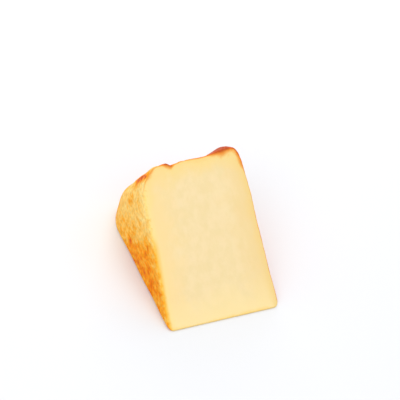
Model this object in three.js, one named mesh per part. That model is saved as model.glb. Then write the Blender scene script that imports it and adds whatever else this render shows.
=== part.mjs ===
// A wedge of smoked cheddar, a tenth of a small domed wheel, cut twice through the wheel's axis.
// It lies on one cut face. The other slopes up from the thin edge in front to the browned rim behind.
// Millimetres, +Z up. X runs along the wheel's axis and Y from the thin edge towards the rim.
// The origin is under the middle of the wedge, on the face that it rests on.

import * as THREE from 'three';
import { LoftGeometry } from 'three/addons/geometries/LoftGeometry.js';

const { degToRad, smoothstep } = THREE.MathUtils;

// The wheel
const WHEEL_RADIUS = 96.8;
const WHEEL_HEIGHT = 73; // at the axis, where the wheel is thickest
const DOME = 0.08; // share of that height that is gone at the rim
const DOME_POWER = { left: 2, right: 1 }; // the left face bulges, the right one slopes evenly
const LEFT_SHOULDER = { width: 13, drop: 17.6 }; // rounding of the rim, along the axis and inwards
const RIGHT_SHOULDER = { width: 5, drop: 15 };

// The knife's cuts, and the edges that handling has softened
const WEDGE_ANGLE = degToRad( 36 );
const THIN_EDGE_RADIUS = 0.6;
const RIM_EDGE_RADIUS = 0.8;
const LEFT_EDGE = { width: 3, drop: 1.1 }; // where a cut meets the left face
const RIGHT_EDGE = { width: 4, drop: 1.4 };

// Swells, ridges and grooves that the pressing cloth left on the rim. Each runs round the wheel at a place
// along the axis, is highest at one angle above the face that the wedge rests on, and dies out over a spread.
const CLOTH_RIDGES = [
	{ place: - 30, halfWidth: 13.5, height: 3.9, angle: degToRad( 6 ), spread: degToRad( 12 ) },
	{ place: - 27, halfWidth: 5, height: 0.75, angle: degToRad( 36 ), spread: degToRad( 9 ) },
	{ place: - 25, halfWidth: 6.3, height: - 1.5, angle: degToRad( 29 ), spread: degToRad( 10 ) },
	{ place: - 19, halfWidth: 4.5, height: 0.7, angle: degToRad( 33 ), spread: degToRad( 24 ) },
	{ place: - 15.1, halfWidth: 1.9, height: - 1.2, angle: degToRad( 34 ), spread: degToRad( 20 ) },
	{ place: - 11.5, halfWidth: 3.1, height: - 0.9, angle: degToRad( 35.7 ), spread: degToRad( 18 ) },
	{ place: 0, halfWidth: 16, height: 0.3, angle: degToRad( 36 ), spread: degToRad( 14 ) },
	{ place: 2, halfWidth: 5, height: 1.2, angle: degToRad( 12 ), spread: degToRad( 10 ) },
	{ place: 14, halfWidth: 3, height: - 0.9, angle: degToRad( 14 ), spread: degToRad( 16 ) },
	{ place: 16.7, halfWidth: 6.4, height: 0.9, angle: degToRad( 32 ), spread: degToRad( 13.8 ) },
	{ place: 24.6, halfWidth: 9.2, height: 1.4, angle: degToRad( 24 ), spread: degToRad( 21 ) },
	{ place: 28.3, halfWidth: 9.1, height: 3.8, angle: degToRad( 30.3 ), spread: degToRad( 7.2 ) },
];
const RIDGE_WANDER = { reach: 1.6, turns: 6 }; // how a ridge strays to either side on its way round

// Soft dents over the rind. Those on the faces are two crossing waves, each with a lean of its own.
const RIM_DENT = { depth: 0.35, length: 24 };
const FACE_DENT = { depth: 0.35, length: 46, lean: 0.6, crossLean: 0.3 };

// Steps of the mesh
const THIN_EDGE_STEPS = 3;
const CUT_STEPS = 10;
const RIM_EDGE_STEPS = 3;
const RIM_STEPS = 11;
const LEFT_SHOULDER_STEPS = 10;
const RIGHT_SHOULDER_STEPS = 8;
const MIDDLE_STEPS = 36;
const FACE_RINGS = [ 0, 0.2, 0.4, 0.6, 0.78, 0.91 ]; // shares of the face's outline, from its middle

const HALF_ANGLE = WEDGE_ANGLE / 2;
const LEFT_END = - WHEEL_HEIGHT / 2;
const RIGHT_END = WHEEL_HEIGHT / 2;
const QUARTER_TURN = Math.PI / 2;

// Where relief sets in and where it is full, from the axis for the rim's and along it for the faces'
const RIM_REACH = { start: 0.7 * WHEEL_RADIUS, full: 0.98 * WHEEL_RADIUS };
const FACE_REACH = { start: 0.8 * RIGHT_END, full: RIGHT_END };

const cheese = new THREE.MeshStandardMaterial( { color: 0xf6dfae, roughness: 0.55, metalness: 0 } );

// Points or places at even shares of a stretch, from 0 up to but without 1.
function along( steps, at ) {

	return Array.from( { length: steps }, ( _, i ) => at( i / steps ) );

}

// A point at a distance and an angle from the wheel's axis.
function polar( radius, angle ) {

	return new THREE.Vector2( radius, 0 ).rotateAround( new THREE.Vector2(), angle );

}

// Points of an arc about a centre, without its last one.
function arc( centre, radius, from, to, steps ) {

	return along( steps, ( share ) => polar( radius, from + ( to - from ) * share ).add( centre ) );

}

// Points of a straight line, without its last one.
function line( from, to, steps ) {

	return along( steps, ( share ) => from.clone().lerp( to, share ) );

}

// A quarter ellipse: 1 at the end of the wheel, falling to 0 one width further in.
function rounding( distance, width ) {

	const left = 1 - Math.min( distance / width, 1 );
	return 1 - Math.sqrt( 1 - left * left );

}

// How far the rim or the cuts draw back at a place along the axis, with a rounding at either end.
function drawnIn( place, leftRound, rightRound ) {

	return leftRound.drop * rounding( place - LEFT_END, leftRound.width )
		+ rightRound.drop * rounding( RIGHT_END - place, rightRound.width );

}

// The upper half of the outline across the axis, from the thin edge to the middle of the rim, with
// the wedge's middle along X. The cut is drawn in by an inset, and the corners at its ends are arcs.
function halfOutline( rimRadius, inset ) {

	const cutDirection = QUARTER_TURN + HALF_ANGLE;
	const thinCentre = polar( ( inset + THIN_EDGE_RADIUS ) / Math.sin( HALF_ANGLE ), 0 );
	const cornerReach = rimRadius - RIM_EDGE_RADIUS;
	const cornerAngle = HALF_ANGLE - Math.asin( ( inset + RIM_EDGE_RADIUS ) / cornerReach );
	const cornerCentre = polar( cornerReach, cornerAngle );
	const cutStart = polar( THIN_EDGE_RADIUS, cutDirection ).add( thinCentre );
	const cutEnd = polar( RIM_EDGE_RADIUS, cutDirection ).add( cornerCentre );
	const axis = new THREE.Vector2();

	return [
		...arc( thinCentre, THIN_EDGE_RADIUS, Math.PI, cutDirection, THIN_EDGE_STEPS ),
		...line( cutStart, cutEnd, CUT_STEPS ),
		...arc( cornerCentre, RIM_EDGE_RADIUS, cutDirection, cornerAngle, RIM_EDGE_STEPS ),
		...arc( axis, rimRadius, cornerAngle, 0, RIM_STEPS ),
		polar( rimRadius, 0 ),
	];

}

// The whole outline at a place along the axis, counterclockwise as seen from the right.
// It is turned so that the lower cut lies level.
function outline( place ) {

	const rimRadius = WHEEL_RADIUS - drawnIn( place, LEFT_SHOULDER, RIGHT_SHOULDER );
	const upper = halfOutline( rimRadius, drawnIn( place, LEFT_EDGE, RIGHT_EDGE ) );
	const lower = upper.slice( 0, - 1 ).map( ( p ) => new THREE.Vector2( p.x, - p.y ) );
	const upperInwards = upper.slice( 1 ).reverse();
	const axis = new THREE.Vector2();
	return [ ...lower, ...upperInwards ].map( ( p ) => p.rotateAround( axis, HALF_ANGLE ) );

}

// Height of the cloth ridges and the dents on the rim.
function rimRelief( place, angle ) {

	const turn = 2 * Math.PI / RIM_DENT.length;
	let height = RIM_DENT.depth * Math.sin( turn * place ) * Math.sin( turn * angle * WHEEL_RADIUS );

	for ( const ridge of CLOTH_RIDGES ) {

		const fromPeak = angle - ridge.angle;
		const strayed = ridge.place + RIDGE_WANDER.reach * Math.sin( RIDGE_WANDER.turns * fromPeak );
		const across = ( place - strayed ) / ridge.halfWidth;
		const lengthwise = fromPeak / ridge.spread;
		height += ridge.height * Math.exp( - across * across - lengthwise * lengthwise );

	}

	return height;

}

// Height of the dents on the two round faces of the wheel.
function faceRelief( y, z ) {

	const turn = 2 * Math.PI / FACE_DENT.length;
	const wave = Math.sin( turn * ( y + FACE_DENT.lean * z ) );
	const crossWave = Math.cos( turn * ( z - FACE_DENT.crossLean * y ) );
	return FACE_DENT.depth * wave * crossWave;

}

// A point of the plain wedge at its place on the real one: the faces close in towards the rim,
// the rim carries its ridges, and the rind on the faces is dented. The cuts stay flat.
function weathered( place, point ) {

	const radius = point.length();
	const angle = Math.atan2( point.y, point.x );
	const nearRim = smoothstep( radius, RIM_REACH.start, RIM_REACH.full );
	const nearFace = smoothstep( Math.abs( place ), FACE_REACH.start, FACE_REACH.full );

	const shaped = polar( radius + nearRim * rimRelief( place, angle ), angle );
	const power = place < 0 ? DOME_POWER.left : DOME_POWER.right;
	const domed = place * ( 1 - DOME * ( radius / WHEEL_RADIUS ) ** power );
	const dented = Math.sign( place ) * nearFace * faceRelief( shaped.x, shaped.y );
	return new THREE.Vector3( domed + dented, shaped.x, shaped.y );

}

// One section of the loft. A share below 1 draws the outline in towards its middle,
// to close a face of the wheel.
function section( place, share = 1 ) {

	const points = outline( place );
	const middle = new THREE.Vector2();
	points.forEach( ( p ) => middle.addScaledVector( p, 1 / points.length ) );
	return points.map( ( p ) => weathered( place, p.lerp( middle, 1 - share ) ) );

}

// Places along the axis, closest together where the shoulders turn over into the faces.
function places() {

	const turnOver = ( share ) => 1 - Math.cos( QUARTER_TURN * share );
	const fromLeft = ( share ) => LEFT_END + LEFT_SHOULDER.width * turnOver( share );
	const fromRight = ( share ) => RIGHT_END - RIGHT_SHOULDER.width * turnOver( share );
	const from = fromLeft( 1 );
	const to = fromRight( 1 );

	const left = along( LEFT_SHOULDER_STEPS, fromLeft );
	const middle = along( MIDDLE_STEPS, ( share ) => from + ( to - from ) * share );
	const right = along( RIGHT_SHOULDER_STEPS, fromRight );
	return [ ...left, ...middle, to, ...right.reverse() ];

}

// The wedge as a loft along the wheel's axis, moved so that the origin is under its middle.
function wedge() {

	const sections = [
		...FACE_RINGS.map( ( share ) => section( LEFT_END, share ) ),
		...places().map( ( place ) => section( place ) ),
		...FACE_RINGS.toReversed().map( ( share ) => section( RIGHT_END, share ) ),
	];
	const geometry = new LoftGeometry( sections );
	geometry.computeBoundingBox();

	const middle = geometry.boundingBox.getCenter( new THREE.Vector3() );
	const mesh = new THREE.Mesh( geometry, cheese );
	mesh.name = 'cheese_wedge';
	mesh.position.set( - middle.x, - middle.y, - geometry.boundingBox.min.z );
	return mesh;

}

const part = new THREE.Group();
part.add( wedge() );

export default part;
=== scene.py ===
"""A wedge of smoked cheddar on a pale studio floor.

The wedge is one closed surface, worked out on a grid in wheel coordinates: a place along the wheel's axis, a
radius from it and an angle round it. Colour follows how deep a point lies below the smoked rind.
"""

import logging
import math
from dataclasses import dataclass
from enum import Enum
from functools import cached_property
from typing import NamedTuple

import bpy
import numpy as np
from mathutils import Matrix, Vector


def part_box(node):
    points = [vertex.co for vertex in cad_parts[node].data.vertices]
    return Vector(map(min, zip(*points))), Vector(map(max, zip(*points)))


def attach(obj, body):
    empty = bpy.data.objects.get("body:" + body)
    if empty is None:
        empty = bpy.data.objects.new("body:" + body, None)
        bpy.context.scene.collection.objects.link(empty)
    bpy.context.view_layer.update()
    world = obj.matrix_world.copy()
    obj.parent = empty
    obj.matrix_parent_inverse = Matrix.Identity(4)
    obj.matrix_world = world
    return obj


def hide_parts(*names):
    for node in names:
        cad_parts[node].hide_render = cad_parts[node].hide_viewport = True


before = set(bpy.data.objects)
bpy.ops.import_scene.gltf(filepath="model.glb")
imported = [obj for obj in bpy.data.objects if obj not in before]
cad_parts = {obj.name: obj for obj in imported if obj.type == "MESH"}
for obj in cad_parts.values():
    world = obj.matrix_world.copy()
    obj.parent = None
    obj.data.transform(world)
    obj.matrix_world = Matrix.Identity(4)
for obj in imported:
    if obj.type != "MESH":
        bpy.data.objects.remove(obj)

log = logging.getLogger("smoked_cheddar")

Array = np.ndarray
Number = Array | float
Span = tuple[float, float]
Triple = tuple[float, float, float]
Layers = tuple[float, int]  # size of a noise in mm, and how many layers of it
Colour = tuple[float, float, float, float]
Socket = bpy.types.NodeSocket
Value = float | tuple[float, ...] | Socket

MM = 0.001
NO_LENGTH = 1e-9  # a normal below this length has no direction


class Attribute(Enum):
    """The values that the wedge's surface carries for its finish."""

    WHEEL = "wheel"  # mm along the axis, from the axis, and round the rim
    DEPTH = "depth"  # mm below the left face, the right face and the rim
    # the smoke level also carries painted shade in the folds of the rim
    SMOKE = "smoke"  # how dark the smoke has browned the rind, from 0 to 1
    SOAK = "soak"  # mm that the smoke has soaked into the cuts


class Operation(Enum):
    """What a math node does with its inputs."""

    MULTIPLY_ADD = "MULTIPLY_ADD"  # the first times the second, plus the third
    SUBTRACT = "SUBTRACT"
    MULTIPLY = "MULTIPLY"
    DIVIDE = "DIVIDE"
    MINIMUM = "MINIMUM"
    MAXIMUM = "MAXIMUM"


class Mix(Enum):
    """What a mix node mixes: its data type, the numbers of its two inputs, and that of its output."""

    COLOURS = ("RGBA", 6, 7, 2)
    NUMBERS = ("FLOAT", 2, 3, 0)


class Edge(Enum):
    """The edges of the cut that a tint can follow."""

    LEFT = "left"
    RIGHT = "right"
    RIM = "rim"
    THIN = "thin"


class Follows(Enum):
    """The coordinates that a mottled mask follows."""

    PIECE = "piece"
    WHEEL = "wheel"


class Fade(NamedTuple):
    """A smooth change from a start to a stop, while a value goes from low to high."""

    low: float
    high: float
    start: float = 0.0
    stop: float = 1.0


def srgb(red: int, green: int, blue: int) -> Colour:
    """Scene-linear colour of a screen colour, by the sRGB curve: a straight foot, then a power.

    Args:
        red: Red from 0 to 255.
        green: Green from 0 to 255.
        blue: Blue from 0 to 255.

    Returns:
        The colour, opaque.
    """
    shares = np.array([red, green, blue]) / 255.0
    linear = np.where(shares <= 0.04045, shares / 12.92, ((shares + 0.055) / 1.055) ** 2.4)
    return (*(float(share) for share in linear), 1.0)


def smoothstep(values: Array, low: float, high: Number) -> Array:
    """0 below low, 1 above high, and the cubic 3t^2 - 2t^3 between them."""
    share = np.clip((values - low) / (high - low), 0.0, 1.0)
    return share * share * (3.0 - 2.0 * share)


def mix(first: Number, second: Number, share: Array) -> Array:
    """The first value, giving way to the second in a straight line as the share rises to 1."""
    return first + (second - first) * share


def even_shares(count: int) -> Array:
    """Even shares of a stretch, from 0 up to but without 1."""
    return np.arange(count) / count


def polar(radius: Number, angle: Number) -> Array:
    """Points at a distance and an angle from the axis, two numbers along the last axis."""
    return np.stack(np.broadcast_arrays(radius * np.cos(angle), radius * np.sin(angle)), axis=-1)


def arc(centre: Array, radius: Number, start: Number, stop: Number, count: int) -> Array:
    """Points of an arc about each row's centre, at even angles from start up to but without stop."""
    return centre[:, None, :] + polar(radius, mix(start, stop, even_shares(count)))


@dataclass(frozen=True)
class LatticeNoise:
    """Smooth noise, blended between hashed values at the corners of a lattice."""

    seed: int
    axis_factors: tuple[int, int, int] = (374761393, 668265263, 1103515245)
    seed_factor: int = 974634777
    rounds: tuple[tuple[int, int], ...] = ((13, 1274126177), (15, 668265263))  # shift and factor of each
    last_shift: int = 16
    bits: int = 0x7FFFFFFF  # the 31 bits that are kept
    layer_shift: float = 17.3  # moves each finer layer off the lattice of the one before

    def corner(self, cell: Array) -> Array:
        """Fixed value from -1 to 1 of each lattice corner, from a hash of its three whole numbers.

        The numbers are multiplied by large factors and added up. In each round the upper bits of the sum are
        folded onto the lower ones, and it is multiplied and cut to 31 bits.

        Args:
            cell: Whole numbers, three along the last axis.

        Returns:
            One value for each corner.
        """
        mixed = cell @ np.array(self.axis_factors) + self.seed * self.seed_factor
        for shift, factor in self.rounds:
            mixed = (mixed ^ (mixed >> shift)) * factor & self.bits
        return (mixed ^ (mixed >> self.last_shift)) / (self.bits // 2) - 1.0

    def value(self, points: Array, size: float) -> Array:
        """Value noise: each point blends its cell's eight corners, with smooth weights along each axis.

        Args:
            points: Points, three numbers along the last axis.
            size: Side of a lattice cell, in the units of the points.

        Returns:
            Values from -1 to 1, one for each point.
        """
        scaled = points / size
        cell = np.floor(scaled).astype(np.int64)
        share = smoothstep(scaled - cell, 0.0, 1.0)
        total = np.zeros(points.shape[:-1])
        for step in np.ndindex(2, 2, 2):
            offset = np.array(step)
            weight = np.where(offset == 1, share, 1.0 - share).prod(axis=-1)
            total += weight * self.corner(cell + offset)
        return total

    def layered(self, points: Array, size: float, layers: int) -> Array:
        """Sum of value noises, each at half the size and half the height of the one before."""
        steps = range(layers)
        return sum(0.5**i * self.value(points + self.layer_shift * i, size / 2**i) for i in steps)


@dataclass(frozen=True)
class Rounding:
    """A quarter-ellipse rounding at an end of the wheel: its width along the axis and its drop, in mm."""

    width: float
    drop: float

    def drawn_in(self, distance: Array) -> Array:
        """The full drop at the end of the wheel, falling as a quarter ellipse to 0 one width further in."""
        left = 1.0 - np.minimum(distance / self.width, 1.0)
        return self.drop * (1.0 - np.sqrt(1.0 - left * left))

    def turn_over(self, count: int) -> Array:
        """Distances from the end of the wheel over the width, closest together at the end, by a cosine."""
        return self.width * (1.0 - np.cos(np.linspace(0.0, math.pi / 2.0, count)))


@dataclass(frozen=True)
class ClothRidge:
    """A swell or ridge, or a groove of negative height, that the pressing cloth left round the rim.

    Sizes are in mm, angles in degrees.
    """

    place: float
    half_width: float
    height: float
    angle: float
    spread: float
    wander: float = 1.6  # how far the ridge strays to either side on its way round
    wander_turns: float = 6.0

    def relief(self, place: Array, angle: Array) -> Array:
        """A bell across the ridge times a bell along it, with a place that strays as a sine of the angle.

        Args:
            place: Places along the axis.
            angle: Angles round the wheel, in radians.

        Returns:
            One height for each point.
        """
        from_peak = angle - math.radians(self.angle)
        strayed = self.place + self.wander * np.sin(self.wander_turns * from_peak)
        across = (place - strayed) / self.half_width
        lengthwise = from_peak / math.radians(self.spread)
        return self.height * np.exp(-across * across - lengthwise * lengthwise)


@dataclass(frozen=True)
class Dents:
    """Soft dents of the rind: their depth and length in mm, and how far two crossing waves lean."""

    depth: float
    length: float
    lean: float = 0.0
    cross_lean: float = 0.0

    @property
    def turn(self) -> float:
        """Radians of a wave for each mm."""
        return 2.0 * math.pi / self.length


@dataclass(frozen=True)
class OutlineSteps:
    """How many steps half an outline takes along each of its stretches."""

    thin_edge: int
    cut: int
    corner: int
    rim: int


@dataclass(frozen=True)
class WheelGrid:
    """A grid of surface points, rows along the axis and columns round the wedge, in mm and radians."""

    form: "WedgeForm"
    place: Array
    radius: Array
    angle: Array
    points: Array

    @cached_property
    def wheel(self) -> Array:
        """Wheel coordinates of each point: along the axis, from the axis and round the rim."""
        return np.stack([self.place, self.radius, self.angle * self.form.wheel_radius], axis=-1)

    @cached_property
    def depth(self) -> Array:
        """Depth of each point below the left face, the right face and the rim.

        Depth below a face is the distance along the axis, drawn in with the dome. Depth below the rim is the
        radius still to go, divided by the length of the rim's slope, so that it holds on the shoulders too.
        The slope counts up to a limit, past which the face is nearer.

        Returns:
            Three depths for each point.
        """
        form, place = self.form, self.place
        left_power, right_power = form.dome_power
        left = (place + form.end) * form.squeeze(self.radius, left_power)
        right = (form.end - place) * form.squeeze(self.radius, right_power)
        ahead = form.rim_radius(np.minimum(place + form.slope_step, form.end))
        behind = form.rim_radius(np.maximum(place - form.slope_step, -form.end))
        slope = np.minimum(np.abs(ahead - behind) / (2.0 * form.slope_step), form.steepest)
        rim = (form.rim_radius(place) - self.radius) / np.hypot(1.0, slope)
        return np.stack([left, right, np.maximum(rim, 0.0)], axis=-1)


@dataclass(frozen=True)
class WedgeForm:
    """The wedge's own sizes in mm and degrees, with the thin edge of the uncut corner on the wheel's axis."""

    wheel_radius: float = 96.8
    wheel_height: float = 73.0
    dome: float = 0.08  # share of the height that is gone at the rim
    dome_power: Span = (2.0, 1.0)  # the left face bulges, the right one slopes evenly
    wedge_angle: float = 36.0
    thin_edge_radius: float = 0.6
    rim_edge_radius: float = 0.8
    left_shoulder: Rounding = Rounding(13.0, 17.6)
    right_shoulder: Rounding = Rounding(5.0, 15.0)
    left_edge: Rounding = Rounding(3.0, 1.1)
    right_edge: Rounding = Rounding(4.0, 1.4)
    ridges: tuple[ClothRidge, ...] = (
        ClothRidge(-30.0, 13.5, 3.9, 6.0, 12.0),
        ClothRidge(-27.0, 5.0, 0.75, 36.0, 9.0),
        ClothRidge(-25.0, 6.3, -1.5, 29.0, 10.0),
        ClothRidge(-19.0, 4.5, 0.7, 33.0, 24.0),
        ClothRidge(-15.1, 1.9, -1.2, 34.0, 20.0),
        ClothRidge(-11.5, 3.1, -0.9, 35.7, 18.0),
        ClothRidge(0.0, 16.0, 0.3, 36.0, 14.0),
        ClothRidge(2.0, 5.0, 1.2, 12.0, 10.0),
        ClothRidge(14.0, 3.0, -0.9, 14.0, 16.0),
        ClothRidge(16.7, 6.4, 0.9, 32.0, 13.8),
        ClothRidge(24.6, 9.2, 1.4, 24.0, 21.0),
        ClothRidge(28.3, 9.1, 3.8, 30.3, 7.2),
    )
    rim_dents: Dents = Dents(0.35, 24.0)
    face_dents: Dents = Dents(0.35, 46.0, 0.6, 0.3)
    rim_reach: Span = (0.7, 0.98)  # shares of the radius where the rim's relief sets in and is full
    face_reach: float = 0.8  # share of the way out to a face where its dents set in
    slope_step: float = 0.05  # distance over which the slope of a shoulder is measured
    steepest: float = 1.5  # slope that the depth below the rim counts up to
    lower_steps: OutlineSteps = OutlineSteps(4, 64, 5, 50)
    upper_steps: OutlineSteps = OutlineSteps(5, 130, 6, 50)
    shoulder_steps: tuple[int, int] = (34, 24)
    middle_steps: int = 92
    face_rings: int = 46

    @property
    def half_angle(self) -> float:
        """Half of the wedge's angle, in radians."""
        return math.radians(self.wedge_angle / 2.0)

    @property
    def end(self) -> float:
        """How far each face is from the middle of the wheel, at the axis."""
        return self.wheel_height / 2.0

    def drawn_in(self, place: Array, left: Rounding, right: Rounding) -> Array:
        """How far two roundings, one at either end, draw the form in at a place along the axis."""
        return left.drawn_in(place + self.end) + right.drawn_in(self.end - place)

    def rim_radius(self, place: Array) -> Array:
        """Radius of the rim at a place along the axis, with both shoulders drawn in."""
        return self.wheel_radius - self.drawn_in(place, self.left_shoulder, self.right_shoulder)

    def half_outline(self, rim: Array, inset: Array, steps: OutlineSteps) -> Array:
        """Upper half of the outline, from the thin edge to the middle of the rim, the wedge's middle along X.

        The thin edge is an arc, the cut a straight line drawn in by its inset, the corner at the rim an arc
        that touches both, and the rim an arc about the axis.

        Args:
            rim: Rim radius of each row, as a column.
            inset: Inset of the cut in each row, as a column.
            steps: How finely each stretch is divided.

        Returns:
            Points of shape (rows, columns, 2). The last column is the middle of the rim.
        """
        half = self.half_angle
        thin, corner = self.thin_edge_radius, self.rim_edge_radius
        cut_direction = math.pi / 2.0 + half
        reach = rim - corner
        corner_angle = half - np.arcsin((inset + corner) / reach)
        thin_centre = polar((inset + thin) / math.sin(half), 0.0)[:, 0]
        corner_centre = polar(reach, corner_angle)[:, 0]
        axis = np.zeros_like(thin_centre)
        towards_cut = polar(1.0, cut_direction)
        cut_start = (thin_centre + thin * towards_cut)[:, None, :]
        cut_end = (corner_centre + corner * towards_cut)[:, None, :]
        return np.concatenate(
            [
                arc(thin_centre, thin, math.pi, cut_direction, steps.thin_edge),
                mix(cut_start, cut_end, even_shares(steps.cut)[:, None]),
                arc(corner_centre, corner, cut_direction, corner_angle, steps.corner),
                arc(axis, rim, corner_angle, 0.0, steps.rim),
                polar(rim, 0.0),
            ],
            axis=1,
        )

    def outline(self, place: Array) -> Array:
        """Outlines at the given places, counterclockwise as seen from the right, the lower cut turned level.

        Args:
            place: One place along the axis for each row.

        Returns:
            Points of shape (rows, columns, 2), across the axis and up.
        """
        rim = self.rim_radius(place)[:, None]
        inset = self.drawn_in(place, self.left_edge, self.right_edge)[:, None]
        lower = self.half_outline(rim, inset, self.lower_steps)[:, :-1] * np.array([1.0, -1.0])
        upper = self.half_outline(rim, inset, self.upper_steps)[:, :0:-1]
        cos, sin = math.cos(self.half_angle), math.sin(self.half_angle)
        return np.concatenate([lower, upper], axis=1) @ np.array([[cos, sin], [-sin, cos]])

    def places(self) -> Array:
        """Places along the axis, closest together where the shoulders turn over into the faces.

        Returns:
            The places, from left to right.
        """
        left_count, right_count = self.shoulder_steps
        left = -self.end + self.left_shoulder.turn_over(left_count)
        right = self.end - self.right_shoulder.turn_over(right_count)[::-1]
        middle = np.linspace(left[-1], right[0], self.middle_steps + 1)[1:-1]
        return np.concatenate([left, middle, right])

    def rim_relief(self, place: Array, angle: Array) -> Array:
        """Height of the cloth ridges, plus soft dents as a product of two sines.

        Args:
            place: Places along the axis.
            angle: Angles round the wheel, in radians.

        Returns:
            One height for each point.
        """
        dents = self.rim_dents
        height = dents.depth * np.sin(dents.turn * place) * np.sin(dents.turn * angle * self.wheel_radius)
        return height + sum(ridge.relief(place, angle) for ridge in self.ridges)

    def face_relief(self, across: Array, up: Array) -> Array:
        """Height of the soft dents on the round faces, as a product of two leaning waves.

        Args:
            across: How far each point is from the axis, level.
            up: How far each point is from the axis, upwards.

        Returns:
            One height for each point.
        """
        dents = self.face_dents
        wave = np.sin(dents.turn * (across + dents.lean * up))
        cross_wave = np.cos(dents.turn * (up - dents.cross_lean * across))
        return dents.depth * wave * cross_wave

    def squeeze(self, radius: Array, power: Number) -> Array:
        """What is left of the wheel's height at a radius: 1 at the axis, less by a power of the radius."""
        return 1.0 - self.dome * (radius / self.wheel_radius) ** power

    def weathered(self, place: Array, outline: Array) -> WheelGrid:
        """The plain outlines at their place on the real wedge.

        The faces close in towards the rim by a power of the radius, the rim carries its relief, which fades
        inwards, and the rind on the faces is dented. Angles are kept, so the cuts stay flat.

        Args:
            place: Places along the axis, as a column.
            outline: Points across the axis, one row for each place.

        Returns:
            The grid of points with the wheel coordinates of the plain outline.
        """
        radius = np.hypot(outline[..., 0], outline[..., 1])
        angle = np.arctan2(outline[..., 1], outline[..., 0])
        place = np.broadcast_to(place, radius.shape)
        near_rim = smoothstep(radius, *(share * self.wheel_radius for share in self.rim_reach))
        near_face = smoothstep(np.abs(place), self.face_reach * self.end, self.end)
        shaped = radius + near_rim * self.rim_relief(place, angle)
        across, up = shaped * np.cos(angle), shaped * np.sin(angle)
        left_power, right_power = self.dome_power
        domed = place * self.squeeze(radius, np.where(place < 0.0, left_power, right_power))
        along = domed + np.sign(place) * near_face * self.face_relief(across, up)
        return WheelGrid(self, place, radius, angle, np.stack([along, across, up], axis=-1))

    def grid(self) -> WheelGrid:
        """The whole surface: rings that open out over the left face, the outlines, and rings over the right.

        Returns:
            The grid. Its first and last rows are the poles in the middle of the faces.
        """
        places = self.places()
        outlines = self.outline(places)
        shares = even_shares(self.face_rings)[:, None, None]
        first, last = outlines[:1], outlines[-1:]
        left = mix(first.mean(axis=1, keepdims=True), first, shares)
        right = mix(last.mean(axis=1, keepdims=True), last, shares[::-1])
        ends = np.full(self.face_rings, self.end)
        rows = np.concatenate([-ends, places, ends])
        return self.weathered(rows[:, None], np.concatenate([left, outlines, right]))


@dataclass(frozen=True)
class SmokePatch:
    """A spot where the smoke browned the rind more, or less if negative, in mm and degrees."""

    place: float
    radius: float
    angle: float
    reach: Triple  # along the axis, inwards and round the rim
    strength: float

    def level(self, grid: WheelGrid) -> Array:
        """A bell round the patch's middle, with its own reach in each direction.

        Args:
            grid: The wedge's surface.

        Returns:
            One level for each point.
        """
        round_rim = math.radians(self.angle) * grid.form.wheel_radius
        offset = (grid.wheel - np.array([self.place, self.radius, round_rim])) / np.array(self.reach)
        return self.strength * np.exp(-(offset**2).sum(axis=-1))


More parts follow.
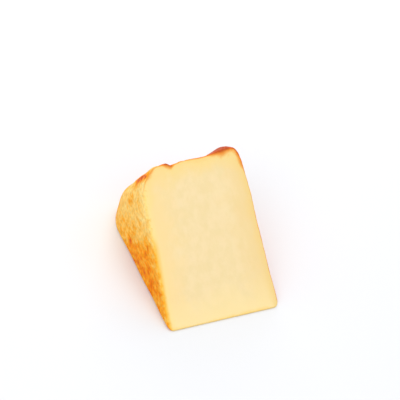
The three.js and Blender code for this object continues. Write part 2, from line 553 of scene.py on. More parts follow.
@dataclass(frozen=True)
class SmokePattern:
    """How darkly the smoke browned each part of the rind, before the fine mottling of the finish."""

    rim: float = 0.71
    left_inner: float = 0.465
    left_outer: float = 0.2
    left_change: Span = (56.0, 88.0)  # radius at angle 0 where it starts and ends
    left_lean: float = 0.465  # mm that this change moves inwards for each degree round the wheel
    left_fall: float = 0.1  # what the left face loses between the lower cut and the upper one
    right: float = 0.61
    face_change: Span = (-6.0, 6.0)  # places between which the left face's level becomes the right one's
    edge_share: Span = (0.8, 0.36)  # share of a face's level right beside the upper cut, inner and outer
    left_edge: Span = (12.5, 13.0)  # degrees from that cut to full level, inner and outer
    right_edge: float = 2.0
    rim_depth: Span = (0.3, 6.0)  # mm below the rim where its level starts to give way and is gone
    rim_start: Span = (6.0, 17.0)  # mm from the left face where it sets in and is full
    stray: float = 7.0  # mm that it strays to and fro there
    clouds: Layers = (15.0, 4)
    cloud_limits: Span = (0.2, 2.0)  # least and most that the clouds stretch the depth below the rim
    cloudiness: float = 0.13  # how much lighter and darker they make the rim and the right face
    cloud_start: Span = (-28.0, -10.0)  # places where they set in and are full
    blots: Layers = (5.0, 3)
    patchiness: float = 0.35  # how strongly the blots break up the patches
    # the folds darken the rim: partly darker smoke, partly painted shade in the creases
    fold: float = 0.16  # what the folds of the cloth add on the rim
    noise: LatticeNoise = LatticeNoise(11)
    patches: tuple[SmokePatch, ...] = (
        SmokePatch(-31.6, 93.2, 30.0, (2.5, 3.2, 8.0), 1.05),
        SmokePatch(-33.0, 91.4, 35.2, (1.6, 2.0, 2.6), 0.4),
        SmokePatch(-33.8, 90.0, 28.0, (1.8, 2.4, 4.0), 0.22),
        SmokePatch(-36.0, 83.3, 21.4, (4.0, 2.6, 5.0), 0.26),
        SmokePatch(-36.5, 78.5, 29.5, (4.0, 2.4, 3.0), 0.13),
        SmokePatch(36.0, 88.0, 20.0, (8.0, 8.0, 30.0), -0.3),
        SmokePatch(23.5, 97.0, 33.0, (8.0, 9.0, 8.0), 0.42),
        SmokePatch(-17.5, 97.0, 36.0, (3.2, 6.0, 6.0), 0.5),
        SmokePatch(-26.5, 95.5, 37.0, (4.0, 6.0, 5.0), -0.42),
        SmokePatch(-3.0, 97.0, 36.0, (11.0, 6.0, 5.0), -0.2),
        SmokePatch(-36.5, 65.6, 7.2, (4.0, 4.0, 3.5), 0.28),
        SmokePatch(-36.5, 52.5, 6.2, (4.0, 4.8, 3.5), 0.18),
        SmokePatch(-36.5, 79.0, 9.5, (4.0, 3.2, 1.4), 0.2),
        SmokePatch(-36.5, 51.9, 26.8, (4.0, 2.0, 2.2), 0.28),
        SmokePatch(-36.5, 36.2, 15.0, (4.0, 2.8, 4.5), 0.18),
        SmokePatch(-36.5, 41.5, 13.5, (4.0, 2.2, 3.0), -0.1),
        SmokePatch(-36.5, 62.8, 18.0, (4.0, 4.0, 11.0), -0.15),
        SmokePatch(-36.5, 39.0, 30.0, (4.0, 6.0, 8.0), -0.08),
        SmokePatch(-36.5, 82.5, 16.0, (4.0, 4.0, 11.0), -0.07),
        SmokePatch(-36.5, 25.5, 25.0, (4.0, 5.0, 9.0), 0.16),
        SmokePatch(-36.5, 10.0, 18.0, (4.0, 4.0, 30.0), -0.1),
    )
    soak: float = 0.4
    soak_start: Span = (2.0, 8.0)  # mm from the left face where it sets in and is full
    soak_patches: tuple[SmokePatch, ...] = (
        SmokePatch(23.6, 97.0, 36.0, (6.5, 9.0, 9.0), 4.6),
        SmokePatch(-16.8, 97.0, 36.0, (2.7, 9.0, 9.0), 3.4),
        SmokePatch(-30.6, 93.0, 36.0, (3.6, 9.0, 9.0), 2.4),
        SmokePatch(34.8, 91.0, 36.0, (3.4, 4.8, 9.0), 6.0),
    )

    def face_level(self, grid: WheelGrid) -> Array:
        """Smoke level of the two faces: the left one changes outwards, and both fade beside the upper cut.

        Args:
            grid: The wedge's surface.

        Returns:
            One level for each point.
        """
        wedge_angle = grid.form.wedge_angle
        degrees = np.degrees(grid.angle)
        outwards = smoothstep(grid.radius + self.left_lean * degrees, *self.left_change)
        left = mix(self.left_inner, self.left_outer, outwards)
        left += self.left_fall * (0.5 - degrees / wedge_angle)
        level = mix(left, self.right, smoothstep(grid.place, *self.face_change))
        reach = np.where(grid.place < 0.0, mix(*self.left_edge, outwards), self.right_edge)
        share = mix(*self.edge_share, outwards)
        return level * mix(share, 1.0, smoothstep(wedge_angle - degrees, 0.0, reach))

    def level(self, grid: WheelGrid) -> Array:
        """Smoke level over the surface: each part's own level, blended where parts meet, plus the patches.

        Args:
            grid: The wedge's surface.

        Returns:
            One level for each point, about 0 to 1.
        """
        below_left, _, below_rim = np.moveaxis(grid.depth, -1, 0)
        clouds = self.noise.layered(grid.points, *self.clouds)
        stretch = np.clip(1.0 + clouds, *self.cloud_limits)
        on_rim = 1.0 - smoothstep(below_rim * stretch, *self.rim_depth)
        off_left = smoothstep(below_left + self.stray * clouds, *self.rim_start)
        level = mix(self.face_level(grid), self.rim, on_rim * off_left)
        level += self.cloudiness * clouds * smoothstep(grid.place, *self.cloud_start)
        blots = self.noise.layered(grid.points, *self.blots)
        broken = np.clip(1.0 + self.patchiness * blots, 0.0, 2.0)
        return level + broken * sum(patch.level(grid) for patch in self.patches)

    def soak_depth(self, grid: WheelGrid) -> Array:
        """Depth of the smoke in the cuts, in mm: an even one away from the left face, plus the patches."""
        even = self.soak * smoothstep(grid.depth[..., 0], *self.soak_start)
        return even + sum(patch.level(grid) for patch in self.soak_patches)


@dataclass(frozen=True)
class FineRelief:
    """Fine relief that is laid on the form along its normals, with heights and depths in mm."""

    grain_height: float = 0.1  # on the rind
    grain: Layers = (4.5, 3)
    wave_height: float = 0.1  # on the upper cut
    wave: Layers = (26.0, 2)
    rind_depth: Span = (0.1, 1.2)  # below the rind, where its grain starts to give way and is gone
    floor_gap: Span = (0.1, 2.5)  # above the floor, where all relief sets in and is full
    fold_height: float = 0.5  # how far the folds of the cloth went into the rim
    fold: Layers = (11.0, 3)
    fold_stretch: Triple = (1.0, 0.3, 0.2)
    fold_width: float = 0.14
    fold_depth: Span = (0.2, 3.0)  # below the rim, where the folds start to give way and are gone
    fold_start: Span = (3.0, 9.0)  # from the left face, where they set in and are full
    gap_size: float = 14.0  # of the noise that lets them come and go
    gap_stretch: Triple = (1.0, 0.3, 0.6)
    gap_shift: float = 40.0
    gap_levels: Span = (-0.2, 0.3)
    noise: LatticeNoise = LatticeNoise(7)

    def folds(self, grid: WheelGrid) -> Array:
        """Where the rim took the folds of the pressing cloth, from 0 to 1.

        A fold is where noise that is stretched round the wheel passes through zero, so it is a thin line that
        runs round the rim and strays. Slower noise lets the folds come and go.

        Args:
            grid: The wedge's surface.

        Returns:
            One share for each point.
        """
        below_left, _, below_rim = np.moveaxis(grid.depth, -1, 0)
        line = np.abs(self.noise.layered(grid.wheel * np.array(self.fold_stretch), *self.fold))
        slower = self.noise.value(grid.wheel * np.array(self.gap_stretch) + self.gap_shift, self.gap_size)
        on_rim = 1.0 - smoothstep(below_rim, *self.fold_depth)
        off_left = smoothstep(below_left, *self.fold_start)
        some = smoothstep(slower, *self.gap_levels)
        return some * on_rim * off_left * (1.0 - smoothstep(line, 0.0, self.fold_width))

    def height(self, grid: WheelGrid) -> Array:
        """Height over the surface: grain on the rind, folds round the rim and slow waves on the upper cut.

        All of it dies out towards the floor, where the wedge lies flat.

        Args:
            grid: The wedge's surface.

        Returns:
            One height for each point.
        """
        rind = 1.0 - smoothstep(grid.depth.min(axis=-1), *self.rind_depth)
        height = self.grain_height * rind * self.noise.layered(grid.points, *self.grain)
        height -= self.fold_height * rind * self.folds(grid)
        height += self.wave_height * (1.0 - rind) * self.noise.layered(grid.points, *self.wave)
        return height * smoothstep(grid.points[..., 2], *self.floor_gap)


class Graph:
    """A node tree being wired. Most methods add a node and return the socket that it puts out."""

    def __init__(self, tree: bpy.types.NodeTree) -> None:
        """Keeps the tree that the nodes go into."""
        self.tree = tree

    def node(self, kind: str, **settings: object) -> bpy.types.Node:
        """Adds a node and sets its own settings.

        Args:
            kind: The node's type, without the beginning ShaderNode where it has that.
            **settings: Properties of the node.

        Returns:
            The new node.
        """
        node = self.tree.nodes.new(kind if kind.startswith("NodeGroup") else f"ShaderNode{kind}")
        for name, value in settings.items():
            setattr(node, name, value)
        return node

    def feed(self, socket: Socket, value: Value) -> None:
        """Links a socket to another, or sets its own value.

        Args:
            socket: The input that is fed.
            value: The socket to link it to, or its own value.
        """
        if isinstance(value, bpy.types.NodeSocket):
            self.tree.links.new(value, socket)
        else:
            socket.default_value = value

    def feed_all(self, node: bpy.types.Node, values: dict[str, Value]) -> None:
        """Feeds several inputs of a node, each given by its name."""
        for name, value in values.items():
            self.feed(node.inputs[name], value)

    def attribute(self, attribute: Attribute, output: str) -> Socket:
        """One output of a value that the surface carries."""
        return self.node("Attribute", attribute_name=attribute.value).outputs[output]

    def combine(self, kind: str, operation: Operation, values: tuple[Value, ...]) -> Socket:
        """Adds a math node.

        Args:
            kind: Whether it is for plain numbers or vectors.
            operation: What it does.
            values: Its inputs in order.

        Returns:
            Its result.
        """
        node = self.node(kind, operation=operation.value)
        for socket, value in zip(node.inputs, values):
            self.feed(socket, value)
        return node.outputs[0]

    def math(self, operation: Operation, *values: Value) -> Socket:
        """A sum, product or the like of plain numbers."""
        return self.combine("Math", operation, values)

    def vector_math(self, operation: Operation, *values: Value) -> Socket:
        """A sum, product or the like of vectors."""
        return self.combine("VectorMath", operation, values)

    def split(self, vector: Socket) -> tuple[Socket, Socket, Socket]:
        """The three numbers of a vector.

        Args:
            vector: The vector.

        Returns:
            Its three numbers.
        """
        node = self.node("SeparateXYZ")
        self.feed(node.inputs["Vector"], vector)
        return tuple(node.outputs)

    def fade(self, value: Value, low: Value, high: Value, start: Value = 0.0, stop: Value = 1.0) -> Socket:
        """A smooth change from start to stop while a value goes from low to high.

        Args:
            value: The value that it follows.
            low: Where the change starts.
            high: Where it ends.
            start: What it gives below low.
            stop: What it gives above high.

        Returns:
            The changing number.
        """
        node = self.node("MapRange", interpolation_type="SMOOTHSTEP")
        limits = {"From Min": low, "From Max": high, "To Min": start, "To Max": stop}
        self.feed_all(node, {"Value": value, **limits})
        return node.outputs["Result"]

    def mix(self, kind: Mix, factor: Value, first: Value, second: Value) -> Socket:
        """Adds a mix node.

        Args:
            kind: What it mixes.
            factor: How far the first value gives way to the second, up to 1.
            first: The value at factor 0.
            second: The value at factor 1.

        Returns:
            The mixed value.
        """
        data_type, first_input, second_input, output = kind.value
        node = self.node("Mix", data_type=data_type)
        for index, value in ((0, factor), (first_input, first), (second_input, second)):
            self.feed(node.inputs[index], value)
        return node.outputs[output]

    def blend(self, factor: Value, first: Value, second: Value) -> Socket:
        """The first colour, giving way to the second as the factor rises to 1."""
        return self.mix(Mix.COLOURS, factor, first, second)

    def between(self, factor: Value, first: Value, second: Value) -> Socket:
        """The first number, giving way to the second as the factor rises to 1."""
        return self.mix(Mix.NUMBERS, factor, first, second)

    def ramp(self, factor: Value, stops: tuple[tuple[float, Colour], ...]) -> Socket:
        """A colour read off a scale of colours.

        Args:
            factor: The place on the scale.
            stops: The scale's places, rising, and their colours.

        Returns:
            The colour.
        """
        node = self.node("ValToRGB")
        elements = node.color_ramp.elements
        while len(elements) < len(stops):
            elements.new(0.5)
        for element, (position, colour) in zip(elements, stops):
            element.position = position
            element.color = colour
        self.feed(node.inputs["Fac"], factor)
        return node.outputs["Color"]


@dataclass(frozen=True)
class Mottle:
    """A mottled mask: the size of its marks in mm, and the levels of its noise where it is 0 and 1."""

    size: float
    detail: float
    seed: float
    low: float = 0.35
    high: float = 0.65
    stretch: Triple = (1.0, 1.0, 1.0)
    follows: Follows = Follows.PIECE


class MottleGroup:
    """The node group behind every mottled mask: noise in mm, stretched, and cut between two levels."""

    def __init__(self) -> None:
        """Builds the group once."""
        self.tree = bpy.data.node_groups.new("mottle", "ShaderNodeTree")
        for name in ("Place", "Stretch"):
            self.tree.interface.new_socket(name, in_out="INPUT", socket_type="NodeSocketVector")
        for name in ("Size", "Detail", "Seed", "Low", "High"):
            self.tree.interface.new_socket(name, in_out="INPUT", socket_type="NodeSocketFloat")
        self.tree.interface.new_socket("Mask", in_out="OUTPUT", socket_type="NodeSocketFloat")
        graph = Graph(self.tree)
        given = graph.node("NodeGroupInput").outputs
        noise = graph.node("TexNoise", noise_dimensions="4D")
        graph.feed_all(
            noise,
            {
                "Vector": graph.vector_math(Operation.MULTIPLY, given["Place"], given["Stretch"]),
                "Scale": graph.math(Operation.DIVIDE, 1.0, given["Size"]),
                "Detail": given["Detail"],
                "W": given["Seed"],
            },
        )
        mask = graph.fade(noise.outputs["Fac"], given["Low"], given["High"])
        graph.feed(graph.node("NodeGroupOutput").inputs["Mask"], mask)

    def mask(self, graph: Graph, place: Socket, mottle: Mottle) -> Socket:
        """Places the group in a material.

        Args:
            graph: The material's nodes.
            place: The coordinates that the mask follows, in mm.
            mottle: The mask's own numbers.

        Returns:
            The mask, from 0 to 1.
        """
        node = graph.node("Group", node_tree=self.tree)
        graph.feed_all(
            node,
            {
                "Place": place,
                "Stretch": mottle.stretch,
                "Size": mottle.size,
                "Detail": mottle.detail,
                "Seed": mottle.seed,
                "Low": mottle.low,
                "High": mottle.high,
            },
        )
        return node.outputs["Mask"]


@dataclass(frozen=True)
class Surface:
    """A material being wired, with the sockets that it reads: where a point is, and how deep and smoked."""

    graph: Graph
    group: MottleGroup
    place: Socket
    wheel: Socket
    along: Socket  # along the axis
    thin: Socket  # from the thin edge
    left: Socket  # below the left face
    right: Socket  # below the right face
    rim: Socket  # below the rim
    # the smoke level, with painted shade in the rim's folds
    smoke: Socket
    soak: Socket

    @classmethod
    def read(cls, graph: Graph, group: MottleGroup) -> "Surface":
        """Adds the nodes that read the values, all of them in mm apart from the smoke.

        Args:
            graph: The material's nodes.
            group: The node group for mottled masks.

        Returns:
            The sockets to read.
        """
        coordinates = graph.node("TexCoord").outputs["Object"]
        place = graph.vector_math(Operation.MULTIPLY, coordinates, (1.0 / MM, 1.0 / MM, 1.0 / MM))
        wheel = graph.attribute(Attribute.WHEEL, "Vector")
        along, thin, _ = graph.split(wheel)
        left, right, rim = graph.split(graph.attribute(Attribute.DEPTH, "Vector"))
        smoke = graph.attribute(Attribute.SMOKE, "Fac")
        soak = graph.attribute(Attribute.SOAK, "Fac")
        return cls(graph, group, place, wheel, along, thin, left, right, rim, smoke, soak)

    def mask(self, mottle: Mottle) -> Socket:
        """A mottled mask on the coordinates that it follows."""
        place = self.wheel if mottle.follows is Follows.WHEEL else self.place
        return self.group.mask(self.graph, place, mottle)


@dataclass(frozen=True)
class Band:
    """A tint of the cut that fades out from an edge over a reach in mm."""

    edge: Edge
    reach: float
    tint: Colour


@dataclass(frozen=True)
class Stain:
    """Smoke that soaked into the cut, with its tint and strength.

    It is full down to one depth in mm, and gone at its reach plus its spread times the soaked depth.
    """

    tint: Colour
    strength: float
    full: float
    reach: float
    spread: float


@dataclass(frozen=True)
class RindEdge:
    """How the rind gives way to the curd, in mm.

    It is full down to one depth, and gone at its reach plus what a ragged mask adds to that.
    """

    full: float
    reach: float
    ragged: float


@dataclass(frozen=True)
class CheddarFinish:
    """Smoked cheddar: cream curd, yellower towards the rind, with painted light and shade across the cut, and
    a rind that the smoke browned unevenly, with painted shade in the rim's folds.

    Depths and lengths are in mm.
    """

    # The cut, with tints that lie one over the other towards its edges: the curd's yellowing, and painted
    # light and shade
    curd: Colour = srgb(238, 215, 162)
    curd_light: Colour = srgb(242, 219, 171)
    marble: Mottle = Mottle(4.2, 4.0, 2.0, stretch=(1.0, 0.75, 1.0), follows=Follows.WHEEL)
    edge_tints_and_painted_light: tuple[Band, ...] = (
        # painted shade: darker towards the right face, the side away from the light, along with the curd's
        # own yellowing there
        Band(Edge.RIGHT, 24.0, srgb(239, 210, 149)),
        # painted light: lighter and warmer towards the left face, the lit side, along with the curd's own
        # yellowing there
        Band(Edge.LEFT, 24.0, srgb(246, 216, 152)),
        Band(Edge.THIN, 26.0, srgb(247, 223, 163)),
        Band(Edge.RIM, 15.0, srgb(244, 214, 140)),
        Band(Edge.LEFT, 6.0, srgb(246, 220, 147)),
        Band(Edge.RIGHT, 7.0, srgb(241, 209, 136)),
        Band(Edge.RIM, 3.4, srgb(243, 208, 130)),
        # partly painted shade under the rounded thin edge, partly a golden line along it
        Band(Edge.THIN, 3.6, srgb(248, 204, 98)),
    )
    band_strength: float = 0.95
    wander: Mottle = Mottle(9.0, 2.0, 3.0, 0.25, 0.75)
    wander_share: float = 0.5  # how much of its reach a band gains and loses along the edge

    # The strip beside the left face, where the rind shines through
    below_left: Fade = Fade(0.1, 2.2, 0.9, 0.0)
    below_left_smoke: float = 0.6
    left_gold: Colour = srgb(249, 186, 52)
    gold_full: float = 0.4
    gold_reach: Fade = Fade(16.0, 42.0, 2.8, 4.4)  # by the distance from the thin edge
    gold_strength: float = 0.75
    gold_smoke: Fade = Fade(0.13, 0.25)
    tick: Colour = srgb(232, 184, 72)
    ticks: Mottle = Mottle(2.6, 1.0, 12.0, 0.58, 0.66)
    tick_depth: Fade = Fade(0.4, 2.8, 0.8, 0.0)

    # Stains of smoke that soaked into the cut from the rim and the right face
    stains: tuple[Stain, ...] = (
        Stain(srgb(245, 196, 92), 0.7, 0.2, 0.4, 1.4),
        Stain(srgb(230, 126, 32), 0.92, 0.1, 0.4, 1.0),
    )
    soak_spread: float = 1.1
    soak_ragged: float = 0.6
    right_weight: float = 1.1  # how often a mm below the right face counts against one below the rim

    # The rind
    rind: tuple[tuple[float, Colour], ...] = (
        (0.0, srgb(251, 218, 138)),
        (0.1, srgb(250, 208, 118)),
        (0.2, srgb(249, 196, 97)),
        (0.3, srgb(248, 181, 66)),
        (0.42, srgb(247, 160, 32)),
        (0.55, srgb(243, 138, 12)),
        (0.7, srgb(229, 108, 22)),
        (0.85, srgb(200, 81, 26)),
        (1.0, srgb(148, 52, 24)),
    )
    ragged: Mottle = Mottle(3.2, 3.0, 1.0)
    left_rind: RindEdge = RindEdge(0.0, 0.8, 1.5)
    right_rind: RindEdge = RindEdge(0.1, 0.4, 0.5)
    rim_rind: RindEdge = RindEdge(0.05, 0.1, 0.5)
    soaked_rind: float = 0.5  # share of the soaked depth that counts as rind on the rim
    on_rim: Fade = Fade(0.5, 6.0, 1.0, 0.0)
    rim_red: Colour = srgb(204, 90, 44)
    red_start: Fade = Fade(5.0, 12.0)
    red_smoke: Fade = Fade(0.4, 0.75, 0.0, 0.6)

    # What breaks up its browning, with weights that change along the axis unless a comment says otherwise
    drawn_out: Triple = (1.0, 0.72, 1.0)
    clouds: Mottle = Mottle(13.0, 4.0, 4.0)
    cloud_weight: Fade = Fade(-20.0, 20.0, 0.05, 0.12)
    blots: Mottle = Mottle(5.2, 3.0, 5.0, 0.37, 0.63, drawn_out)
    blot_weight: Fade = Fade(-20.0, 20.0, 0.14, 0.2)
    streaks: Mottle = Mottle(4.0, 3.0, 6.0, stretch=(1.0, 0.3, 0.2), follows=Follows.WHEEL)
    streak_contrast: float = 0.5
    grain: Mottle = Mottle(2.3, 2.0, 7.0, stretch=drawn_out)
    grain_weight: Fade = Fade(0.2, 0.45, 0.16, 0.24)  # by the smoke
    flecks: Mottle = Mottle(4.3, 3.0, 8.0, 0.6, 0.82, drawn_out)
    fleck_weight: Fade = Fade(-20.0, 20.0, 0.19, 0.12)
    rim_fleck_weight: float = 0.1
    rim_grain: Mottle = Mottle(1.7, 3.0, 13.0, 0.38, 0.62)
    rim_grain_weight: Fade = Fade(5.0, 12.0, 0.0, 0.26)  # by the depth below the left face

    # The surface. Of two numbers, the first is for the curd and the second for the rind.
    fine_grain: Mottle = Mottle(1.8, 3.0, 9.0, 0.3, 0.7)
    fine_shade: float = 0.2
    fine_roughness: float = 0.1
    roughness: Span = (0.5, 0.42)
    bump: Span = (0.12, 1.0)
    bump_strength: float = 0.6
    bump_height: float = 0.12
    gloss: Fade = Fade(0.6, 0.95, 0.0, 0.02)  # by the browning
    gloss_roughness: float = 0.28
    gloss_ior: float = 1.4
    specular: float = 0.03
    scatter: float = 0.08
    scatter_radius: Triple = (1.0, 0.6, 0.3)
    scatter_scale: float = 1.5

    def material(self, group: MottleGroup) -> bpy.types.Material:
        """Builds the material.

        Args:
            group: The node group for mottled masks.

        Returns:
            The finished material.
        """
        material = bpy.data.materials.new("smoked_cheddar")
        material.use_nodes = True
        material.node_tree.nodes.clear()
        graph = Graph(material.node_tree)
        surface = Surface.read(graph, group)
        ragged = surface.mask(self.ragged)
        grain = surface.mask(self.fine_grain)
        on_rim = graph.fade(surface.rim, *self.on_rim)
        rind = self.rind_mask(surface, ragged)
        browning = self.browning(surface, on_rim)
        curd_colour = self.curd_colour(surface, ragged)
        rind_colour = self.rind_colour(surface, browning, on_rim, grain)
        roughness = graph.between(rind, *self.roughness)
        shader = graph.node("BsdfPrincipled")
        graph.feed_all(
            shader,
            {
                "Base Color": graph.blend(rind, curd_colour, rind_colour),
                "Roughness": graph.math(Operation.MULTIPLY_ADD, grain, self.fine_roughness, roughness),
                "Normal": self.bumps(surface, rind, grain),
                "Specular IOR Level": self.specular,
                "Subsurface Weight": self.scatter,
                "Subsurface Radius": self.scatter_radius,
                "Subsurface Scale": self.scatter_scale * MM,
                "Coat Weight": graph.math(Operation.MULTIPLY, graph.fade(browning, *self.gloss), rind),
                "Coat Roughness": self.gloss_roughness,
                "Coat IOR": self.gloss_ior,
            },
        )
        graph.feed(graph.node("OutputMaterial").inputs["Surface"], shader.outputs["BSDF"])
        return material

    def bumps(self, surface: Surface, rind: Socket, grain: Socket) -> Socket:
        """The surface's normal, roughened by the fine grain, more on the rind than on the curd.

        Args:
            surface: The material being wired.
            rind: 1 on the rind.
            grain: The fine grain.

        Returns:
            The normal.
        """
        graph = surface.graph
        node = graph.node("Bump")
        graph.feed_all(
            node,
            {
                "Strength": self.bump_strength,
                "Distance": self.bump_height * MM,
                "Height": graph.math(Operation.MULTIPLY, grain, graph.between(rind, *self.bump)),
            },
        )
        return node.outputs["Normal"]

    def rind_mask(self, surface: Surface, ragged: Socket) -> Socket:
        """1 on the rind, giving way to the curd over a ragged depth below each of its three sides.

        Args:
            surface: The material being wired.
            ragged: The mask that makes the edge ragged.

        Returns:
            The mask.
        """
        graph = surface.graph
        soaked = graph.math(Operation.MULTIPLY_ADD, surface.soak, self.soaked_rind, self.rim_rind.reach)
        mask: Value = 0.0
        for depth, edge, reach in (
            (surface.left, self.left_rind, self.left_rind.reach),
            (surface.right, self.right_rind, self.right_rind.reach),
            (surface.rim, self.rim_rind, soaked),
        ):
            gone = graph.math(Operation.MULTIPLY_ADD, ragged, edge.ragged, reach)
            side = graph.fade(depth, edge.full, gone, 1.0, 0.0)
            mask = graph.math(Operation.MAXIMUM, mask, side)
        return mask

    def curd_colour(self, surface: Surface, ragged: Socket) -> Socket:
        """Colour of the cut: faintly marbled cream, yellower towards each edge, with painted light towards
        the left face, painted shade towards the right face and along the thin edge, and soaked-in smoke.

        Args:
            surface: The material being wired.
            ragged: The mask that makes the stains ragged.

        Returns:
            The colour.
        """
        graph = surface.graph
        colour = graph.blend(surface.mask(self.marble), self.curd, self.curd_light)
        share = self.wander_share
        stray = graph.math(Operation.MULTIPLY_ADD, surface.mask(self.wander), share, 1.0 - share / 2.0)
        depths = {
            Edge.LEFT: surface.left,
            Edge.RIGHT: surface.right,
            Edge.RIM: surface.rim,
            Edge.THIN: surface.thin,
        }
        for band in self.edge_tints_and_painted_light:
            reach = graph.math(Operation.MULTIPLY, stray, band.reach)
            tinted = graph.fade(depths[band.edge], 0.0, reach, self.band_strength, 0.0)
            colour = graph.blend(tinted, colour, band.tint)
        colour = self.left_strip(surface, colour)
        spread = graph.math(Operation.MULTIPLY_ADD, ragged, self.soak_ragged, self.soak_spread)
        soaked = graph.math(Operation.MULTIPLY, surface.soak, spread)
        right = graph.math(Operation.MULTIPLY, surface.right, self.right_weight)
        side = graph.math(Operation.MINIMUM, surface.rim, right)
        for stain in self.stains:
            reach = graph.math(Operation.MULTIPLY_ADD, soaked, stain.spread, stain.reach)
            stained = graph.fade(side, stain.full, reach, stain.strength, 0.0)
            colour = graph.blend(stained, colour, stain.tint)
        return colour

    def left_strip(self, surface: Surface, colour: Socket) -> Socket:
        """The cut's colour with the strip beside the left face: the rind's own colour, gold and darker ticks.

        Args:
            surface: The material being wired.
            colour: Colour of the cut so far.

        Returns:
            The colour.
        """
        graph = surface.graph
        shining = graph.ramp(graph.math(Operation.MULTIPLY, surface.smoke, self.below_left_smoke), self.rind)
        colour = graph.blend(graph.fade(surface.left, *self.below_left), colour, shining)
        reach = graph.fade(surface.thin, *self.gold_reach)
        golden = graph.fade(surface.left, self.gold_full, reach, self.gold_strength, 0.0)
        golden = graph.math(Operation.MULTIPLY, golden, graph.fade(surface.smoke, *self.gold_smoke))
        colour = graph.blend(golden, colour, self.left_gold)
        near_left = graph.fade(surface.left, *self.tick_depth)
        ticks = graph.math(Operation.MULTIPLY, surface.mask(self.ticks), near_left)
        return graph.blend(ticks, colour, self.tick)

    def browning(self, surface: Surface, on_rim: Socket) -> Socket:
        """The smoke level, with its painted shade in the rim's folds, broken up by clouds, blots, streaks
        round the rim, grain and flecks.

        Flecks only add to it. Each other mask adds its weight times what it is above or below its middle.

        Args:
            surface: The material being wired.
            on_rim: 1 on the rim.

        Returns:
            The level, about 0 to 1.
        """
        graph = surface.graph
        contrast = self.streak_contrast
        streaks = surface.mask(self.streaks)
        streaks = graph.math(Operation.MULTIPLY_ADD, streaks, contrast, (1.0 - contrast) / 2.0)
        blots = graph.between(on_rim, surface.mask(self.blots), streaks)
        fleck_weight = graph.fade(surface.along, *self.fleck_weight)
        fleck_weight = graph.between(on_rim, fleck_weight, self.rim_fleck_weight)
        level = graph.math(Operation.MULTIPLY_ADD, surface.mask(self.flecks), fleck_weight, surface.smoke)
        rim_weight = graph.fade(surface.left, *self.rim_grain_weight)
        for mask, weight in (
            (surface.mask(self.clouds), graph.fade(surface.along, *self.cloud_weight)),
            (blots, graph.fade(surface.along, *self.blot_weight)),
            (surface.mask(self.grain), graph.fade(surface.smoke, *self.grain_weight)),
            (surface.mask(self.rim_grain), graph.math(Operation.MULTIPLY, on_rim, rim_weight)),
        ):
            from_middle = graph.math(Operation.SUBTRACT, mask, 0.5)
            level = graph.math(Operation.MULTIPLY_ADD, from_middle, weight, level)
        return level

    def rind_colour(self, surface: Surface, browning: Socket, on_rim: Socket, grain: Socket) -> Socket:
        """Colour of the rind: its browning read off a scale of colours, redder on the rim, with a fine grain.

        Args:
            surface: The material being wired.
            browning: How brown the rind is.
            on_rim: 1 on the rim.
            grain: The fine grain.

        Returns:
            The colour.
        """
        graph = surface.graph
        colour = graph.ramp(browning, self.rind)
        redder = graph.math(Operation.MULTIPLY, on_rim, graph.fade(surface.left, *self.red_start))
        redder = graph.math(Operation.MULTIPLY, redder, graph.fade(surface.smoke, *self.red_smoke))
        colour = graph.blend(redder, colour, self.rim_red)
        shade = graph.math(Operation.MULTIPLY_ADD, grain, self.fine_shade, 1.0 - self.fine_shade / 2.0)
        return graph.vector_math(Operation.MULTIPLY, colour, shade)


@dataclass(frozen=True)
class FloorFinish:
    """A matt, nearly white studio floor."""

    colour: Colour = srgb(232, 233, 235)
    roughness: float = 0.8
    specular: float = 0.1

    def material(self) -> bpy.types.Material:
        """Builds the floor's material.

        Returns:
            The finished material.
        """
        material = bpy.data.materials.new("studio_floor")
        material.use_nodes = True
        shader = material.node_tree.nodes["Principled BSDF"]
        shader.inputs["Base Color"].default_value = self.colour
        shader.inputs["Roughness"].default_value = self.roughness
        shader.inputs["Specular IOR Level"].default_value = self.specular
        return material


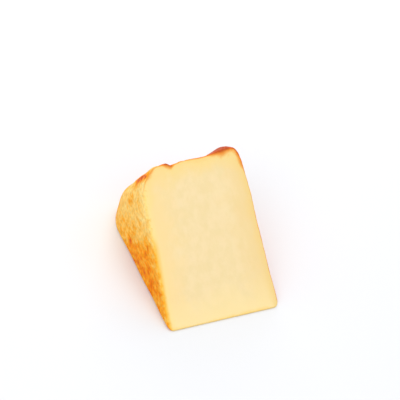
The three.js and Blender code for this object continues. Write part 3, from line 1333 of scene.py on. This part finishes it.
@dataclass(frozen=True)
class CheeseWedge:
    """The wedge: its form, its fine relief, its smoke and its finish."""

    node: str = "cheese_wedge"
    slot: str = "cheese"
    form: WedgeForm = WedgeForm()
    relief: FineRelief = FineRelief()
    smoke: SmokePattern = SmokePattern()
    finish: CheddarFinish = CheddarFinish()

    @staticmethod
    def normals(points: Array) -> Array:
        """Unit normals of a grid, as the cross product of its two directions. They are zero at the poles.

        Args:
            points: Points of the grid.

        Returns:
            One normal for each point.
        """
        round_wedge = np.roll(points, -1, axis=1) - np.roll(points, 1, axis=1)
        normal = np.cross(round_wedge, np.gradient(points, axis=0))
        length = np.linalg.norm(normal, axis=-1, keepdims=True)
        return np.divide(normal, length, out=np.zeros_like(normal), where=length > NO_LENGTH)

    def surface(self, grid: WheelGrid) -> Array:
        """The form with its fine relief along the normals, in metres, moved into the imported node's box.

        Args:
            grid: The plain form.

        Returns:
            Points of shape (rows, columns, 3).
        """
        points = grid.points
        low, high = np.array(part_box(self.node)) / MM
        middle = (points.min(axis=(0, 1)) + points.max(axis=(0, 1))) / 2.0
        shift = (low + high) / 2.0 - middle
        shift[2] = low[2]
        shown = points + self.normals(points) * self.relief.height(grid)[..., None] + shift
        shown[..., 2] = np.maximum(shown[..., 2], low[2])
        return shown * MM

    @staticmethod
    def per_vertex(values: Array) -> Array:
        """Grid values in vertex order: one for the pole of the left face, the inner rows, and the right pole.

        Args:
            values: One number or several for each grid point.

        Returns:
            One row for each vertex.
        """
        rows, columns = values.shape[:2]
        inner = values[1:-1].reshape((rows - 2) * columns, -1)
        return np.concatenate([values[0, :1].reshape(1, -1), inner, values[-1, :1].reshape(1, -1)])

    @staticmethod
    def faces(rows: int, columns: int) -> tuple[Array, Array]:
        """Vertex numbers of all faces: a fan of triangles at each pole and quads between the inner rows.

        Args:
            rows: Rows of the grid, with the two poles.
            columns: Columns of the grid, which close on themselves.

        Returns:
            All corners one face after another, and the number of corners of each face.
        """
        column = np.arange(columns)
        following = (column + 1) % columns
        first = 1
        last = 1 + (rows - 3) * columns
        right_pole = last + columns
        here = first + np.arange(rows - 3)[:, None] * columns
        there = here + columns
        quads = np.stack([here + column, here + following, there + following, there + column], axis=-1)
        left_fan = np.stack([np.zeros_like(column), first + following, first + column], axis=-1)
        right_fan = np.stack([last + column, last + following, np.full_like(column, right_pole)], axis=-1)
        corners = np.concatenate([quads.ravel(), left_fan.ravel(), right_fan.ravel()])
        counts = np.concatenate([np.full(quads.size // 4, 4), np.full(2 * columns, 3)])
        return corners, counts

    def mesh(self) -> bpy.types.Mesh:
        """Builds the closed mesh.

        Returns:
            The mesh, with the values that its finish reads.
        """
        grid = self.form.grid()
        vertices = self.per_vertex(self.surface(grid))
        corners, counts = self.faces(*grid.radius.shape)
        mesh = bpy.data.meshes.new("smoked_cheddar_wedge")
        mesh.vertices.add(len(vertices))
        mesh.vertices.foreach_set("co", vertices.ravel())
        mesh.loops.add(len(corners))
        mesh.loops.foreach_set("vertex_index", corners)
        mesh.polygons.add(len(counts))
        mesh.polygons.foreach_set("loop_start", np.cumsum(counts) - counts)
        mesh.polygons.foreach_set("loop_total", counts)
        mesh.update(calc_edges=True)
        mesh.validate()
        mesh.shade_smooth()
        self.carry(mesh, grid)
        return mesh

    def carry(self, mesh: bpy.types.Mesh, grid: WheelGrid) -> None:
        """Gives the mesh the values that its finish reads.

        Args:
            mesh: The mesh of the grid.
            grid: The plain form.
        """
        # the folds of the rim darken it: partly darker smoke, partly painted shade in the creases
        smoke = self.smoke.level(grid) + self.smoke.fold * self.relief.folds(grid)
        for attribute, kind, field, values in (
            (Attribute.WHEEL, "FLOAT_VECTOR", "vector", grid.wheel),
            (Attribute.DEPTH, "FLOAT_VECTOR", "vector", grid.depth),
            (Attribute.SMOKE, "FLOAT", "value", smoke),
            (Attribute.SOAK, "FLOAT", "value", self.smoke.soak_depth(grid)),
        ):
            layer = mesh.attributes.new(attribute.value, kind, "POINT")
            layer.data.foreach_set(field, self.per_vertex(values).astype(np.float32).ravel())

    def build(self, group: MottleGroup) -> bpy.types.Object:
        """Makes the dressed piece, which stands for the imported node.

        Args:
            group: The node group for mottled masks.

        Returns:
            The wedge's object.
        """
        wedge = bpy.data.objects.new("smoked_cheddar_wedge", self.mesh())
        bpy.context.scene.collection.objects.link(wedge)
        wedge.data.materials.append(self.finish.material(group))
        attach(wedge, "root")
        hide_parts(self.node)
        return wedge


@dataclass(frozen=True)
class SoftLight:
    """A square soft box that looks at the wedge. Its place is in metres."""

    name: str
    place: Triple
    side: float
    power: float
    colour: Triple

    def build(self, target: Vector) -> None:
        """Hangs the light, turned towards a target.

        Args:
            target: The point that it looks at.
        """
        data = bpy.data.lights.new(self.name, "AREA")
        data.size = self.side
        data.energy = self.power
        data.color = self.colour
        light = bpy.data.objects.new(self.name, data)
        light.location = self.place
        light.rotation_euler = (target - Vector(self.place)).to_track_quat("-Z", "Y").to_euler()
        bpy.context.scene.collection.objects.link(light)


@dataclass(frozen=True)
class StudioCamera:
    """A long lens that looks down on the shown cut. Its place is in metres, its angles in degrees."""

    place: Triple = (-0.41714, -0.52946, 0.70039)
    azimuth: float = -37.828
    elevation: float = 44.029
    roll: float = 17.41
    lens: float = 145.4
    sensor: float = 36.0
    clip_end: float = 20.0

    def build(self) -> None:
        """Makes the camera: heading by azimuth and elevation, then rolled about its own view."""
        data = bpy.data.cameras.new("studio_camera")
        data.lens = self.lens
        data.sensor_width = self.sensor
        data.clip_end = self.clip_end
        azimuth, elevation = math.radians(self.azimuth), math.radians(self.elevation)
        flat = math.cos(elevation)
        back = Vector((flat * math.sin(azimuth), -flat * math.cos(azimuth), math.sin(elevation)))
        level = (-back).cross(Vector((0.0, 0.0, 1.0))).normalized()
        right = Matrix.Rotation(math.radians(self.roll), 3, back) @ level
        up = back.cross(right)
        turn = Matrix((right, up, back)).transposed().to_4x4()
        camera = bpy.data.objects.new("studio_camera", data)
        camera.matrix_world = Matrix.Translation(self.place) @ turn
        bpy.context.scene.collection.objects.link(camera)
        bpy.context.scene.camera = camera


@dataclass(frozen=True)
class Studio:
    """The pale floor, the even light all round, the soft boxes and the camera. Lengths are in metres."""

    floor_side: float = 6.0
    floor: FloorFinish = FloorFinish()
    surround: Triple = (0.97, 0.98, 1.0)
    surround_strength: float = 0.775
    lights: tuple[SoftLight, ...] = (
        SoftLight("key_light", (-0.9, -0.55, 0.95), 0.9, 4.0, (1.0, 0.985, 0.96)),
        SoftLight("top_light", (0.1, 0.2, 1.3), 0.8, 5.0, (1.0, 1.0, 1.0)),
        SoftLight("back_light", (0.35, 1.0, 0.55), 0.8, 4.0, (1.0, 1.0, 1.0)),
    )
    light_target: Triple = (0.0, 0.0, 0.025)
    camera: StudioCamera = StudioCamera()

    def build(self) -> None:
        """Sets up everything round the wedge."""
        self.build_floor()
        self.build_world()
        for light in self.lights:
            light.build(Vector(self.light_target))
        self.camera.build()
        bpy.context.scene.view_settings.view_transform = "Standard"

    def build_floor(self) -> None:
        """Lays the floor as one square at the height that the wedge rests on."""
        half = self.floor_side / 2.0
        corners = [(-half, -half, 0.0), (half, -half, 0.0), (half, half, 0.0), (-half, half, 0.0)]
        mesh = bpy.data.meshes.new("floor")
        mesh.from_pydata(corners, [], [(0, 1, 2, 3)])
        mesh.materials.append(self.floor.material())
        floor = bpy.data.objects.new("floor", mesh)
        bpy.context.scene.collection.objects.link(floor)

    def build_world(self) -> None:
        """Sets the even light that comes from all round."""
        world = bpy.data.worlds.new("studio_surround")
        world.use_nodes = True
        background = world.node_tree.nodes["Background"]
        background.inputs["Color"].default_value = (*self.surround, 1.0)
        background.inputs["Strength"].default_value = self.surround_strength
        bpy.context.scene.world = world


def main() -> None:
    """Builds the wedge and the studio round it."""
    logging.basicConfig(level=logging.INFO, format="%(name)s: %(message)s")
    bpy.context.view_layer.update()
    wedge = CheeseWedge().build(MottleGroup())
    log.info("%s has %d faces", wedge.name, len(wedge.data.polygons))
    Studio().build()
    log.info("studio set up with %s", bpy.context.scene.camera.name)


if __name__ == "__main__":
    main()
